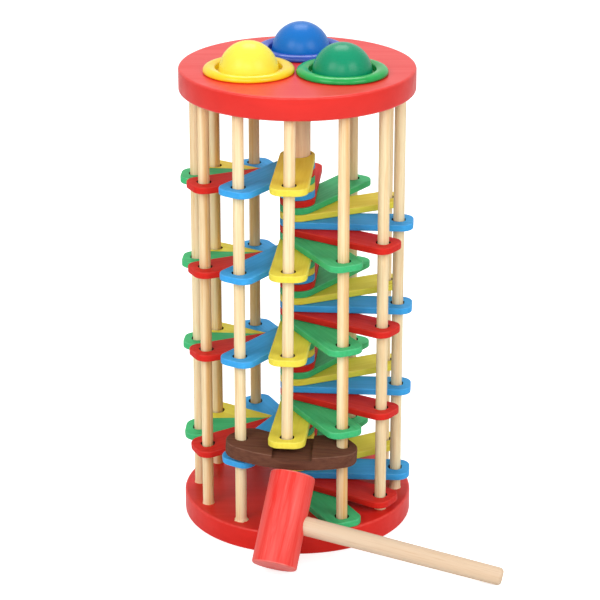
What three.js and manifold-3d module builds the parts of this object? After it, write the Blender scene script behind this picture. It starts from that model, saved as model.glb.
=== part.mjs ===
// Ball pounding toy: a wooden tower with a spiral of painted steps round a centre pole.
// Three balls sit in soft rings in the top disc and are knocked through with a mallet.
// Millimetres, Z up. The origin is the middle of the base's underside, the front faces -Y.

import * as THREE from 'three';
import { mergeVertices } from 'three/addons/utils/BufferGeometryUtils.js';
import Module from 'manifold-3d';

const wasm = await Module();
wasm.setup();

// Discs
const DISC_DIAMETER = 160;
const BASE_THICKNESS = 16;
const TOP_THICKNESS = 16;
const TOWER_HEIGHT = 325;
const DISC_EDGE_RADIUS = 1.6;

// Centre pole and outer rods, glued into blind holes of the discs
const POLE_DIAMETER = 18;
const ROD_DIAMETER = 7.7;
const ROD_RIM_DISTANCE = 10.4;
const ROD_COUNT = 12;
const ROD_PHASE = THREE.MathUtils.degToRad(-4);
const FRONT_ROD_LEAN_ANGLE = THREE.MathUtils.degToRad(0.55);
const FRONT_ROD_END = 1.2;
const SEAT_DEPTH = 10;
const GLUE_GAP = 0.3;

// Steps: flat slats threaded on the pole and on one rod each
const TURN_COUNT = 4;
const STEP_COUNT = TURN_COUNT * ROD_COUNT;
const PAIR_STARTS = [4, 6, 8];
const STEP_THICKNESS = 4.83;
const STEP_OUTER_WIDTH = 25.6;
const STEP_INNER_WIDTH = 24.2;
const STEP_CORNER_RADIUS = 8.5;
const STEP_TIP_SETBACK = 0.3;
const STEP_POLE_CLEARANCE = 0.5;
const STEP_ROD_HOLE_DIAMETER = 10;
const STEP_GAP = 0.2;
const UPPER_TILT_ANGLE = THREE.MathUtils.degToRad(1.8);
const LOWER_TILT_ANGLE = THREE.MathUtils.degToRad(6.6);

// Bridge: a curved board above the ball gate, jammed a little askew between two steps
const BRIDGE_STEP = 36;
const BRIDGE_THICKNESS = 9.7;
const BRIDGE_INNER_WIDTH = 19;
const BRIDGE_OUTER_WIDTH = 14;
const BRIDGE_END_LENGTH = 9.2;
const BRIDGE_CORNER_SHARE = 0.394;
const BRIDGE_DIP_ANGLE = THREE.MathUtils.degToRad(3.5);
const BRIDGE_ROLL_ANGLE = THREE.MathUtils.degToRad(2.9);
const GROOVE_DEPTH = 2.4;
const GROOVE_SIDE_CLEARANCE = 0.8;
const GROOVE_TURN_ANGLE = THREE.MathUtils.degToRad(1);

// Rings and balls: a ball is a quarter of the disc across, and three rings lie close together
const BALL_SHARE = 1 / 4;
const BALL_RAISE_HEIGHT = 0.8;
const RING_PHASE = ROD_PHASE - 2 * Math.PI / 6;
const RING_GAP = 0.95;
const RING_FLANGE_WIDTH = 10.7;
const RING_FLANGE_HEIGHT = 4.4;
const RING_EDGE_SHARE = 0.4;
const RING_SHOULDER_SHARE = 0.8;
const RING_SHOULDER_INSET = 1.3;
const RING_SLEEVE_WIDTH = 4;
const RING_WALL_THICKNESS = 2;
const RING_THROAT_CLEARANCE = 0.3;
const RING_THROAT_HEIGHT = 2.4;
const RING_MOUTH_WIDTH = 2.2;
const RING_SLEEVE_SETBACK = 1;

// Mallet, leaning in front of the ball gate
const HEAD_DIAMETER = 31;
const HEAD_LENGTH = 64;
const HEAD_EDGE_RADIUS = 1.2;
const HANDLE_ROOT_DIAMETER = 13.1;
const HANDLE_TIP_DIAMETER = 12.2;
const HANDLE_REACH = 152;
const HANDLE_TIP_RADIUS = 3;
const HANDLE_SEAT_DEPTH = 20;
const HANDLE_SKEW_ANGLE = THREE.MathUtils.degToRad(3.4);
const MALLET_X = -9.4;
const MALLET_LEAN = THREE.MathUtils.degToRad(36);
const MALLET_TURN = THREE.MathUtils.degToRad(-2.6);
const REST_GAP = 0.3;
const HALVINGS = 60;

// Facet counts of round shapes, and the distance within which corners are one
const DISC_FACETS = 48;
const POLE_FACETS = 20;
const ROD_FACETS = 12;
const RING_FACETS = 24;
const BALL_FACETS = 20;
const HEAD_FACETS = 24;
const BORE_FACETS = 12;
const STEP_HOLE_FACETS = 8;
const ARC_FACETS = 3;
const WELD_DISTANCE = 1e-5;

// Colours and their sheen
const SATIN = 0.5;
const RED = 0xd22d2b;
const YELLOW = 0xf0d93a;
const BLUE = 0x3a9be0;
const GREEN = 0x35b068;
const PALE_WOOD = 0xf0d9a8;
const BEECH = 0xd7aa82;
const BROWN = 0x6a4232;
const STEP_COLOURS = [['yellow', YELLOW], ['blue', BLUE], ['red', RED], ['green', GREEN]];

// Values that follow from the sizes above
const DISC_RADIUS = DISC_DIAMETER / 2;
const POLE_RADIUS = POLE_DIAMETER / 2;
const ROD_RADIUS = ROD_DIAMETER / 2;
const ROD_CIRCLE_RADIUS = DISC_RADIUS - ROD_RIM_DISTANCE;
const TOP_UNDERSIDE = TOWER_HEIGHT - TOP_THICKNESS;
const STEP_ANGLE = 2 * Math.PI / ROD_COUNT;
const STEP_TIP_RADIUS = DISC_RADIUS - STEP_TIP_SETBACK;
const STEP_HALF = STEP_OUTER_WIDTH / 2;
const STEP_NOTCH_REACH = STEP_HALF / Math.tan(STEP_ANGLE / 2);
const STEP_POLE_REACH = STEP_HALF / Math.cos(STEP_ANGLE / 2);
const STEP_INNER_REACH = STEP_INNER_WIDTH / 2;
const BRIDGE_INNER_RADIUS = ROD_CIRCLE_RADIUS - BRIDGE_INNER_WIDTH;
const BRIDGE_OUTER_RADIUS = ROD_CIRCLE_RADIUS + BRIDGE_OUTER_WIDTH;
const BRIDGE_CORNER_RADIUS = BRIDGE_CORNER_SHARE * (BRIDGE_OUTER_RADIUS - BRIDGE_INNER_RADIUS);
const BALL_RADIUS = DISC_RADIUS * BALL_SHARE;
const RING_FLANGE_RADIUS = BALL_RADIUS + RING_FLANGE_WIDTH;
const RING_SLEEVE_RADIUS = BALL_RADIUS + RING_SLEEVE_WIDTH;
const RING_CIRCLE_RADIUS = (2 * RING_FLANGE_RADIUS + RING_GAP) / Math.sqrt(3);
const HEAD_RADIUS = HEAD_DIAMETER / 2;

// Solids: weld a geometry, hand it to the cutter, and turn the result back into a geometry
function weld(geometry) {
  const bare = geometry.clone();
  bare.deleteAttribute('normal');
  bare.deleteAttribute('uv');
  const merged = mergeVertices(bare, WELD_DISTANCE);
  const corners = merged.index.array;
  const kept = [];
  for (let i = 0; i < corners.length; i += 3) {
    const [a, b, c] = corners.slice(i, i + 3);
    if (a !== b && b !== c && c !== a) {
      kept.push(a, b, c);
    }
  }
  merged.setIndex(kept);
  return merged;
}

function solid(geometry) {
  const welded = weld(geometry);
  return new wasm.Manifold(new wasm.Mesh({
    numProp: 3,
    vertProperties: new Float32Array(welded.attributes.position.array),
    triVerts: new Uint32Array(welded.index.array),
  }));
}

function surface(body) {
  const mesh = body.getMesh();
  const geometry = new THREE.BufferGeometry();
  geometry.setAttribute('position', new THREE.BufferAttribute(mesh.vertProperties, 3));
  geometry.setIndex(new THREE.BufferAttribute(mesh.triVerts, 1));
  geometry.computeVertexNormals();
  return geometry;
}

function cut(geometry, cutters) {
  const body = cutters.reduce((rest, cutter) => rest.subtract(solid(cutter)), solid(geometry));
  return surface(body);
}

function join(geometries) {
  const [first, ...others] = geometries.map(solid);
  return surface(others.reduce((whole, other) => whole.add(other), first));
}

// Shapes: points on an arc, a polygon whose flats clear a circle, a turned body, an upright rod
function arc(x, y, radius, start, end, facets) {
  return Array.from({ length: facets + 1 }, (_, i) => {
    const angle = start + (end - start) * i / facets;
    return new THREE.Vector2(x + radius * Math.cos(angle), y + radius * Math.sin(angle));
  });
}

function hole(x, y, radius, facets) {
  const outer = radius / Math.cos(Math.PI / facets);
  return new THREE.Path(arc(x, y, outer, 0, 2 * Math.PI, facets).slice(0, -1));
}

function turned(profile, facets) {
  const geometry = new THREE.LatheGeometry(profile, facets);
  geometry.rotateX(Math.PI / 2);
  return weld(geometry);
}

function uprightRod(radius, bottom, top, facets) {
  const geometry = new THREE.CylinderGeometry(radius, radius, top - bottom, facets);
  geometry.rotateX(Math.PI / 2);
  geometry.translate(0, 0, (bottom + top) / 2);
  return weld(geometry);
}

function roundedBar(radius, bottom, top, edge, facets) {
  const right = Math.PI / 2;
  const profile = [
    new THREE.Vector2(0, bottom),
    ...arc(radius - edge, bottom + edge, edge, -right, 0, ARC_FACETS - 1),
    ...arc(radius - edge, top - edge, edge, 0, right, ARC_FACETS - 1),
    new THREE.Vector2(0, top),
  ];
  return turned(profile, facets);
}

function place(radius, angle, z) {
  return new THREE.Vector3(radius * Math.sin(angle), -radius * Math.cos(angle), z);
}

function moved(geometry, offset) {
  return geometry.clone().translate(offset.x, offset.y, offset.z);
}

function piece(name, geometry, colour, parent) {
  const material = new THREE.MeshStandardMaterial({ color: colour, roughness: SATIN });
  const mesh = new THREE.Mesh(geometry, material);
  mesh.name = name;
  parent.add(mesh);
  return mesh;
}

const toy = new THREE.Group();
toy.name = 'ball_pounding_toy';
const tower = new THREE.Group();
tower.name = 'tower';
toy.add(tower);

// Places of the rods: number 0 is at the front, and the rest follow clockwise seen from above.
// The front rod hangs from the top disc, with its loose lower end a little to the left.
const topCeiling = TOP_UNDERSIDE + SEAT_DEPTH;
const rodTop = topCeiling - GLUE_GAP;
const rodAngle = (k) => ROD_PHASE - STEP_ANGLE * k;
const rodLean = (k) => (k % ROD_COUNT === 0 ? FRONT_ROD_LEAN_ANGLE : 0);
function rodPlace(k, z) {
  const spot = place(ROD_CIRCLE_RADIUS, rodAngle(k), z);
  spot.x += (z - rodTop) * Math.tan(rodLean(k));
  return spot;
}

// Tilt of each step, as its rise for each millimetre along X and Y. Above the bridge the stack rises
// towards the front rod, ever more downwards; below it the stack falls towards the rod on the left of
// the front, and comes to lie flat on the base.
function stepSlope(k) {
  const isAbove = k <= BRIDGE_STEP;
  const share = isAbove ? k / BRIDGE_STEP : (STEP_COUNT - 1 - k) / (STEP_COUNT - 2 - BRIDGE_STEP);
  const rise = isAbove ? Math.tan(share * UPPER_TILT_ANGLE) : -Math.tan(share * LOWER_TILT_ANGLE);
  return place(rise, rodAngle(isAbove ? 0 : 1), 0);
}

const uprightHeight = (thickness, slope) => thickness * Math.hypot(1, slope.length());
const halfStep = (k) => uprightHeight(STEP_THICKNESS, stepSlope(k)) / 2;

// Stack of steps: heights of their middles at the pole, worked out from the base upwards
function riseOver(k) {
  const change = stepSlope(k + 1).sub(stepSlope(k));
  const notch = place(STEP_NOTCH_REACH, (rodAngle(k) + rodAngle(k + 1)) / 2, 0);
  const spread = Math.max(change.dot(notch), change.length() * STEP_POLE_REACH);
  return halfStep(k) + halfStep(k + 1) + STEP_GAP + spread;
}

const stepMiddle = new Array(STEP_COUNT);
stepMiddle[STEP_COUNT - 1] = BASE_THICKNESS + STEP_THICKNESS / 2;
for (let k = STEP_COUNT - 2; k > BRIDGE_STEP; k -= 1) {
  stepMiddle[k] = stepMiddle[k + 1] + riseOver(k);
}

// The bridge lies on the step below it, and the step above may not go lower than the bridge's top
const bridgeReach = Math.sqrt(BRIDGE_INNER_RADIUS ** 2 - STEP_HALF ** 2);
const bridgeSlope = new THREE.Vector3(-Math.tan(BRIDGE_ROLL_ANGLE), Math.tan(BRIDGE_DIP_ANGLE), 0);
function farthestRise(k, slope) {
  const along = place(1, rodAngle(k), 0);
  const across = place(1, rodAngle(k) + Math.PI / 2, 0);
  const rises = [bridgeReach, STEP_TIP_RADIUS].map((reach) => {
    return reach * slope.dot(along) + STEP_HALF * Math.abs(slope.dot(across));
  });
  return Math.max(...rises);
}

const lowerStep = BRIDGE_STEP + 1;
const bridgeBottom = stepMiddle[lowerStep] + halfStep(lowerStep) + STEP_GAP
  + farthestRise(lowerStep, stepSlope(lowerStep).sub(bridgeSlope));
const bridgeTop = bridgeBottom + uprightHeight(BRIDGE_THICKNESS, bridgeSlope);
const overBridge = bridgeTop + halfStep(BRIDGE_STEP) + STEP_GAP
  + farthestRise(BRIDGE_STEP, bridgeSlope.clone().sub(stepSlope(BRIDGE_STEP)));
stepMiddle[BRIDGE_STEP] = Math.max(stepMiddle[lowerStep] + riseOver(BRIDGE_STEP), overBridge);
for (let k = BRIDGE_STEP - 1; k >= 0; k -= 1) {
  stepMiddle[k] = stepMiddle[k + 1] + riseOver(k);
}

function tiltTurn(slope) {
  const normal = new THREE.Vector3(-slope.x, -slope.y, 1).normalize();
  return new THREE.Quaternion().setFromUnitVectors(new THREE.Vector3(0, 0, 1), normal);
}

// Base disc with blind holes for the pole and for every rod but the short front one
const rodSeat = uprightRod(ROD_RADIUS + GLUE_GAP, 0, 2 * SEAT_DEPTH, ROD_FACETS);
const poleSeat = uprightRod(POLE_RADIUS + GLUE_GAP, 0, 2 * SEAT_DEPTH, POLE_FACETS);
const baseFloor = BASE_THICKNESS - SEAT_DEPTH;
const baseSeats = [moved(poleSeat, new THREE.Vector3(0, 0, baseFloor))];
for (let k = 1; k < ROD_COUNT; k += 1) {
  baseSeats.push(moved(rodSeat, rodPlace(k, baseFloor)));
}
const baseBlank = roundedBar(DISC_RADIUS, 0, BASE_THICKNESS, DISC_EDGE_RADIUS, DISC_FACETS);
piece('base_disc', cut(baseBlank, baseSeats), RED, tower);

// Top disc with blind holes from below and three through holes for the rings
const topSeats = [moved(poleSeat, new THREE.Vector3(0, 0, topCeiling - 2 * SEAT_DEPTH))];
for (let k = 0; k < ROD_COUNT; k += 1) {
  topSeats.push(moved(rodSeat, place(ROD_CIRCLE_RADIUS, rodAngle(k), topCeiling - 2 * SEAT_DEPTH)));
}
const ringHoleRadius = RING_SLEEVE_RADIUS + GLUE_GAP;
const ringHole = uprightRod(ringHoleRadius, -TOP_THICKNESS, 2 * TOP_THICKNESS, RING_FACETS);
const ringPlaces = [0, 1, 2].map((i) => {
  return place(RING_CIRCLE_RADIUS, RING_PHASE - i * 2 * Math.PI / 3, 0);
});
for (const spot of ringPlaces) {
  topSeats.push(moved(ringHole, new THREE.Vector3(spot.x, spot.y, TOP_UNDERSIDE)));
}
const topBlank = roundedBar(DISC_RADIUS, TOP_UNDERSIDE, TOWER_HEIGHT, DISC_EDGE_RADIUS, DISC_FACETS);
piece('top_disc', cut(topBlank, topSeats), RED, tower);

// Centre pole and rods stand on the floors of their holes; the front rod ends just under a step
piece('centre_pole', uprightRod(POLE_RADIUS, baseFloor, rodTop, POLE_FACETS), BEECH, tower);
const frontReach = ROD_CIRCLE_RADIUS * Math.tan(UPPER_TILT_ANGLE);
const frontRodBottom = stepMiddle[BRIDGE_STEP] + frontReach - halfStep(BRIDGE_STEP) - FRONT_ROD_END;
for (let k = 0; k < ROD_COUNT; k += 1) {
  const bottom = k === 0 ? frontRodBottom : baseFloor;
  const name = `rod_${String(k + 1).padStart(2, '0')}`;
  const rod = piece(name, uprightRod(ROD_RADIUS, bottom - rodTop, 0, ROD_FACETS), PALE_WOOD, tower);
  rod.position.copy(rodPlace(k, rodTop));
  rod.rotation.set(0, rodLean(k), 0);
}

// Bridge: a curved board with round ends, a groove, and upright holes for two rods
const endAngle = STEP_ANGLE + BRIDGE_END_LENGTH / ROD_CIRCLE_RADIUS;
function bridgeCorner(radius, side, facets) {
  const inward = radius === BRIDGE_INNER_RADIUS ? 1 : -1;
  const centreRadius = radius + inward * BRIDGE_CORNER_RADIUS;
  const centreAngle = endAngle - Math.asin(BRIDGE_CORNER_RADIUS / centreRadius);
  const x = centreRadius * Math.cos(centreAngle);
  const y = centreRadius * Math.sin(centreAngle);
  const along = endAngle + Math.PI / 2;
  const across = inward > 0 ? centreAngle + Math.PI : centreAngle;
  const points = inward > 0
    ? arc(x, y, BRIDGE_CORNER_RADIUS, along, across, facets)
    : arc(x, y, BRIDGE_CORNER_RADIUS, across, along, facets);
  return side > 0 ? points : points.reverse().map((p) => new THREE.Vector2(p.x, -p.y));
}
const outerLeft = bridgeCorner(BRIDGE_OUTER_RADIUS, 1, ARC_FACETS);
const innerLeft = bridgeCorner(BRIDGE_INNER_RADIUS, 1, ARC_FACETS);
const innerRight = bridgeCorner(BRIDGE_INNER_RADIUS, -1, ARC_FACETS);
const outerRight = bridgeCorner(BRIDGE_OUTER_RADIUS, -1, ARC_FACETS);
const outerSweep = outerLeft[0].angle();
const innerSweep = innerLeft[ARC_FACETS].angle();
const bridgeOutline = new THREE.Shape([
  ...outerLeft,
  ...innerLeft,
  ...arc(0, 0, BRIDGE_INNER_RADIUS, innerSweep, -innerSweep, 2 * ARC_FACETS).slice(1, -1),
  ...innerRight,
  ...outerRight,
  ...arc(0, 0, BRIDGE_OUTER_RADIUS, -outerSweep, outerSweep, 3 * ARC_FACETS).slice(1, -1),
]);
const board = new THREE.ExtrudeGeometry(bridgeOutline, { depth: BRIDGE_THICKNESS, bevelEnabled: false });
const grooveWidth = STEP_OUTER_WIDTH + 2 * GROOVE_SIDE_CLEARANCE;
const groove = new THREE.BoxGeometry(2 * BRIDGE_OUTER_RADIUS, grooveWidth, 2 * GROOVE_DEPTH);
groove.translate(BRIDGE_OUTER_RADIUS, 0, BRIDGE_THICKNESS);
groove.rotateZ(GROOVE_TURN_ANGLE);
for (const shape of [board, groove]) {
  shape.rotateZ(ROD_PHASE - Math.PI / 2);
  shape.applyQuaternion(tiltTurn(bridgeSlope));
}
const bridgeHole = uprightRod(ROD_RADIUS + GLUE_GAP, -TOWER_HEIGHT, TOWER_HEIGHT, ROD_FACETS);
const bridgeHoles = [-1, 1].map((side) => moved(bridgeHole, rodPlace(side, 0)));
const bridge = piece('bridge', cut(board, [groove, ...bridgeHoles]), BROWN, tower);
bridge.position.set(0, 0, bridgeBottom);

// Steps: a slat with a round inner end, a bore for the pole and a wider hole for its rod
const cornerX = STEP_TIP_RADIUS - STEP_CORNER_RADIUS;
const cornerY = STEP_HALF - STEP_CORNER_RADIUS;
const stepOutline = new THREE.Shape([
  ...arc(0, 0, STEP_INNER_REACH, Math.PI / 2, 3 * Math.PI / 2, 2 * ARC_FACETS),
  ...arc(cornerX, -cornerY, STEP_CORNER_RADIUS, -Math.PI / 2, 0, ARC_FACETS),
  ...arc(cornerX, cornerY, STEP_CORNER_RADIUS, 0, Math.PI / 2, ARC_FACETS),
]);
const stepBore = POLE_RADIUS + STEP_POLE_CLEARANCE;
stepOutline.holes.push(hole(0, 0, stepBore, BORE_FACETS));
stepOutline.holes.push(hole(ROD_CIRCLE_RADIUS, 0, STEP_ROD_HOLE_DIAMETER / 2, STEP_HOLE_FACETS));
const slat = new THREE.ExtrudeGeometry(stepOutline, { depth: STEP_THICKNESS, bevelEnabled: false });
slat.translate(0, 0, -STEP_THICKNESS / 2);
function stepTurn(k) {
  const rod = rodPlace(k, stepMiddle[k]);
  const heading = Math.atan2(rod.y, rod.x);
  const round = new THREE.Quaternion().setFromAxisAngle(new THREE.Vector3(0, 0, 1), heading);
  return tiltTurn(stepSlope(k)).multiply(round);
}
const stepLabel = (k) => String(k + 1).padStart(2, '0');
const stepColour = (k) => STEP_COLOURS[k % STEP_COLOURS.length];

// Two steps behind the pole share a node: a thin bead of glue round the pole joins them
function gluedPair(upper) {
  const lower = upper + 1;
  const drop = stepMiddle[upper] - stepMiddle[lower];
  const top = slat.clone().applyQuaternion(stepTurn(upper));
  const under = slat.clone().applyQuaternion(stepTurn(lower)).translate(0, 0, -drop);
  const beadInner = stepBore / Math.cos(Math.PI / BORE_FACETS);
  const beadOuter = (beadInner + STEP_INNER_REACH) / 2;
  const bead = new THREE.Shape(arc(0, 0, beadOuter, 0, 2 * Math.PI, BORE_FACETS).slice(0, -1));
  bead.holes.push(hole(0, 0, stepBore, BORE_FACETS));
  const beadDepth = drop - STEP_THICKNESS / 2;
  const glue = new THREE.ExtrudeGeometry(bead, { depth: beadDepth, bevelEnabled: false });
  glue.translate(0, 0, -drop + STEP_THICKNESS / 4);
  return join([top, under, glue]);
}

function paintAcross(mesh, slope, seam, below, above) {
  const corners = mesh.geometry.attributes.position;
  const colours = new Float32Array(corners.count * 3);
  for (let i = 0; i < corners.count; i += 1) {
    const corner = new THREE.Vector3().fromBufferAttribute(corners, i);
    new THREE.Color(corner.z - slope.dot(corner) > seam ? above : below).toArray(colours, i * 3);
  }
  mesh.geometry.setAttribute('color', new THREE.BufferAttribute(colours, 3));
  mesh.material.color.set(0xffffff);
  mesh.material.vertexColors = true;
}

for (let k = 0; k < STEP_COUNT; k += 1) {
  const [shade, colour] = stepColour(k);
  let step;
  if (PAIR_STARTS.includes(k % ROD_COUNT)) {
    const [lowerShade, lowerColour] = stepColour(k + 1);
    const name = `steps_${stepLabel(k)}_${shade}_${stepLabel(k + 1)}_${lowerShade}`;
    step = piece(name, gluedPair(k), colour, tower);
    paintAcross(step, stepSlope(k), -halfStep(k) - STEP_GAP / 2, lowerColour, colour);
  } else if (PAIR_STARTS.includes((k - 1) % ROD_COUNT)) {
    continue;
  } else {
    step = piece(`step_${stepLabel(k)}_${shade}`, weld(slat), colour, tower);
    step.quaternion.copy(stepTurn(k));
  }
  step.position.set(0, 0, stepMiddle[k]);
}

// Rings: a rounded flange on the disc, a throat that the ball just passes, and a sleeve in the hole
const throat = (BALL_RADIUS + RING_THROAT_CLEARANCE) / Math.cos(Math.PI / RING_FACETS);
const sleeveInside = RING_SLEEVE_RADIUS - RING_WALL_THICKNESS;
const sleeveBottom = -(TOP_THICKNESS - RING_SLEEVE_SETBACK);
const mouth = throat + RING_MOUTH_WIDTH;
const crown = (mouth + RING_FLANGE_RADIUS) / 2;
const shoulder = RING_FLANGE_HEIGHT * RING_SHOULDER_SHARE;
const throatBottom = BALL_RAISE_HEIGHT - RING_THROAT_HEIGHT / 2;
const throatTop = BALL_RAISE_HEIGHT + RING_THROAT_HEIGHT / 2;
const ringProfile = [
  new THREE.Vector2(sleeveInside, sleeveBottom),
  new THREE.Vector2(RING_SLEEVE_RADIUS, sleeveBottom),
  new THREE.Vector2(RING_SLEEVE_RADIUS, 0),
  new THREE.Vector2(RING_FLANGE_RADIUS, 0),
  new THREE.Vector2(RING_FLANGE_RADIUS, RING_FLANGE_HEIGHT * RING_EDGE_SHARE),
  new THREE.Vector2(RING_FLANGE_RADIUS - RING_SHOULDER_INSET, shoulder),
  new THREE.Vector2(crown, RING_FLANGE_HEIGHT),
  new THREE.Vector2(mouth, shoulder),
  new THREE.Vector2(throat, throatTop),
  new THREE.Vector2(throat, throatBottom),
  new THREE.Vector2(sleeveInside, throatBottom - RING_WALL_THICKNESS),
  new THREE.Vector2(sleeveInside, sleeveBottom),
];
const ringGeometry = turned(ringProfile, RING_FACETS);
const ballGeometry = new THREE.SphereGeometry(BALL_RADIUS, BALL_FACETS, BALL_FACETS / 2);
ballGeometry.rotateX(Math.PI / 2);
const RING_COLOURS = [['yellow', YELLOW], ['blue', BLUE], ['green', GREEN]];
RING_COLOURS.forEach(([shade, colour], i) => {
  const ring = piece(`ring_${shade}`, ringGeometry.clone(), colour, tower);
  ring.position.set(ringPlaces[i].x, ringPlaces[i].y, TOWER_HEIGHT);
  const ball = piece(`ball_${shade}`, weld(ballGeometry), colour, toy);
  ball.position.set(ringPlaces[i].x, ringPlaces[i].y, TOWER_HEIGHT + BALL_RAISE_HEIGHT);
});

// Mallet: the head along its own Z, the handle along its own X but for a small skew
const mallet = new THREE.Group();
mallet.name = 'mallet';
toy.add(mallet);
const headEnd = HEAD_LENGTH / 2;
const headBlank = roundedBar(HEAD_RADIUS, -headEnd, headEnd, HEAD_EDGE_RADIUS, HEAD_FACETS);
const handleRoot = HEAD_RADIUS - HANDLE_SEAT_DEPTH;
const rootRadius = HANDLE_ROOT_DIAMETER / 2;
const seatFloor = handleRoot - GLUE_GAP;
const handleSeat = uprightRod(rootRadius + GLUE_GAP, seatFloor, 2 * HEAD_DIAMETER, POLE_FACETS);
handleSeat.rotateY(Math.PI / 2 + HANDLE_SKEW_ANGLE);
piece('mallet_head', cut(headBlank, [handleSeat]), RED, mallet);
const tipRadius = HANDLE_TIP_DIAMETER / 2;
const tipArcX = tipRadius - HANDLE_TIP_RADIUS;
const tipArcY = HANDLE_REACH - HANDLE_TIP_RADIUS;
const handleProfile = [
  new THREE.Vector2(0, handleRoot),
  new THREE.Vector2(rootRadius, handleRoot),
  new THREE.Vector2(rootRadius, HEAD_RADIUS),
  ...arc(tipArcX, tipArcY, HANDLE_TIP_RADIUS, 0, Math.PI / 2, ARC_FACETS),
  new THREE.Vector2(0, HANDLE_REACH),
];
const handle = turned(handleProfile, POLE_FACETS);
handle.rotateY(Math.PI / 2 + HANDLE_SKEW_ANGLE);
piece('mallet_handle', handle, PALE_WOOD, mallet);

// Rest of the mallet: the head's lower rim and the handle's tip are on the floor, and the head leans
// back. The dip of the handle is searched for, then the mallet moves in from the front until its
// head meets the bridge or the base.
function malletTurn(dip) {
  const turn = new THREE.Quaternion().setFromAxisAngle(new THREE.Vector3(0, 0, 1), MALLET_TURN);
  const lean = new THREE.Quaternion().setFromAxisAngle(new THREE.Vector3(1, 0, 0), -MALLET_LEAN);
  const tip = new THREE.Quaternion().setFromAxisAngle(new THREE.Vector3(0, 1, 0), dip);
  return turn.multiply(lean).multiply(tip);
}

const headAxis = (dip) => new THREE.Vector3(0, 0, 1).applyQuaternion(malletTurn(dip));
const handleLine = new THREE.Vector3(Math.cos(HANDLE_SKEW_ANGLE), 0, -Math.sin(HANDLE_SKEW_ANGLE));
const handleAxis = (dip) => handleLine.clone().applyQuaternion(malletTurn(dip));

function headLow(dip) {
  const up = headAxis(dip).z;
  const along = (headEnd - HEAD_EDGE_RADIUS) * up;
  return -along - (HEAD_RADIUS - HEAD_EDGE_RADIUS) * Math.sqrt(1 - up * up) - HEAD_EDGE_RADIUS;
}

function tipLow(dip) {
  const up = handleAxis(dip).z;
  const along = (HANDLE_REACH - HANDLE_TIP_RADIUS) * up;
  return along - (tipRadius - HANDLE_TIP_RADIUS) * Math.sqrt(1 - up * up) - HANDLE_TIP_RADIUS;
}

function search(low, high, isPast) {
  for (let i = 0; i < HALVINGS; i += 1) {
    const middle = (low + high) / 2;
    if (isPast(middle)) {
      high = middle;
    } else {
      low = middle;
    }
  }
  return low;
}

const malletDip = search(0, Math.PI / 4, (dip) => tipLow(dip) < headLow(dip));
const malletHeight = -headLow(malletDip);
const edgePoints = [];
for (let i = 0; i <= 2 * DISC_FACETS; i += 1) {
  const angle = Math.PI * (i / DISC_FACETS / 2 - 1 / 2);
  edgePoints.push(place(DISC_RADIUS, angle, BASE_THICKNESS));
  const edge = place(BRIDGE_OUTER_RADIUS, angle, bridgeBottom);
  edge.z += bridgeSlope.dot(edge);
  edgePoints.push(edge);
}

function headClearance(y) {
  const centre = new THREE.Vector3(MALLET_X, y, malletHeight);
  const axis = headAxis(malletDip);
  const gaps = edgePoints.map((point) => {
    const offset = point.clone().sub(centre);
    const past = Math.abs(offset.dot(axis)) - headEnd;
    const beside = offset.cross(axis).length() - HEAD_RADIUS;
    return past > 0 || beside > 0 ? Math.hypot(Math.max(past, 0), Math.max(beside, 0)) : -1;
  });
  return Math.min(...gaps);
}

let malletY = -DISC_DIAMETER - HEAD_LENGTH;
while (headClearance(malletY) > REST_GAP) {
  malletY += REST_GAP / 2;
}
mallet.position.set(MALLET_X, malletY, malletHeight);
mallet.quaternion.copy(malletTurn(malletDip));

export default toy;
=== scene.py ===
import math

import bmesh
import bpy
import numpy as np
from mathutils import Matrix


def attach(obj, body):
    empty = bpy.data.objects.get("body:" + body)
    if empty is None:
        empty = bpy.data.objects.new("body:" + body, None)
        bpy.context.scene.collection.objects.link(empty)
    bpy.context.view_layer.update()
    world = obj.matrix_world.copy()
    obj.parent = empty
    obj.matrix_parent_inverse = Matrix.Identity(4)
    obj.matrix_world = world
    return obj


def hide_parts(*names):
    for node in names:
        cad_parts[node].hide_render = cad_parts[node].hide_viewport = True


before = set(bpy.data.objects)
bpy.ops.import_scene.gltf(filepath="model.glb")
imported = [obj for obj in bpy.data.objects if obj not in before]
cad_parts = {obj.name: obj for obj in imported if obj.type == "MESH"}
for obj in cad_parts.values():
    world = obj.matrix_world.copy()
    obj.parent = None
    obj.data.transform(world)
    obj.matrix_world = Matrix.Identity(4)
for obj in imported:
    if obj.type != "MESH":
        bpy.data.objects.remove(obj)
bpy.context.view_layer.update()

# Base disc: a round board sawn from wood, its edges eased, sprayed with red satin lacquer.
# It stands on the floor, and the pole and eleven of the rods are glued into blind holes in it.
# Lengths are in millimetres, and MM turns them to metres.
MM = 0.001
WELD = 0.001
SHARP_ANGLE = math.radians(38)
# Width of a flat strip beside an eased edge, which keeps the shading of the face flat
EDGE_SUPPORT = 0.35
ARC_POINTS = 6
STREAK_STRETCH = 14
FIBRE_STRETCH = 18
FIBRE_SHARE = 0.6
PATCH_MM = 5.0
PATCH_STRETCH = 5 / 3
LEAST_RUBBED = 0.3
DISC_RADIUS = 80.0
DISC_EDGE = 1.6
DISC_SEGMENTS = 180
BASE_THICKNESS = 16.0
LACQUER_RED = "e0281f"
LACQUER_DEEP = "d02018"
LACQUER_WORN = "f2685f"
# Dark brown painted on the walls of drilled holes, as painted shade for their dark insides
PAINTED_HOLE_SHADE = "1c1510"


def linear(colour):
    """sRGB hex as linear colour: a channel c is c / 12.92 up to 0.04045, and above that it is
    ((c + 0.055) / 1.055) to the power of 2.4."""
    c = np.array([int(colour[i:i + 2], 16) for i in (0, 2, 4)]) / 255
    c = np.where(c <= 0.04045, c / 12.92, ((c + 0.055) / 1.055) ** 2.4)
    return (*c.tolist(), 1.0)


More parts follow.
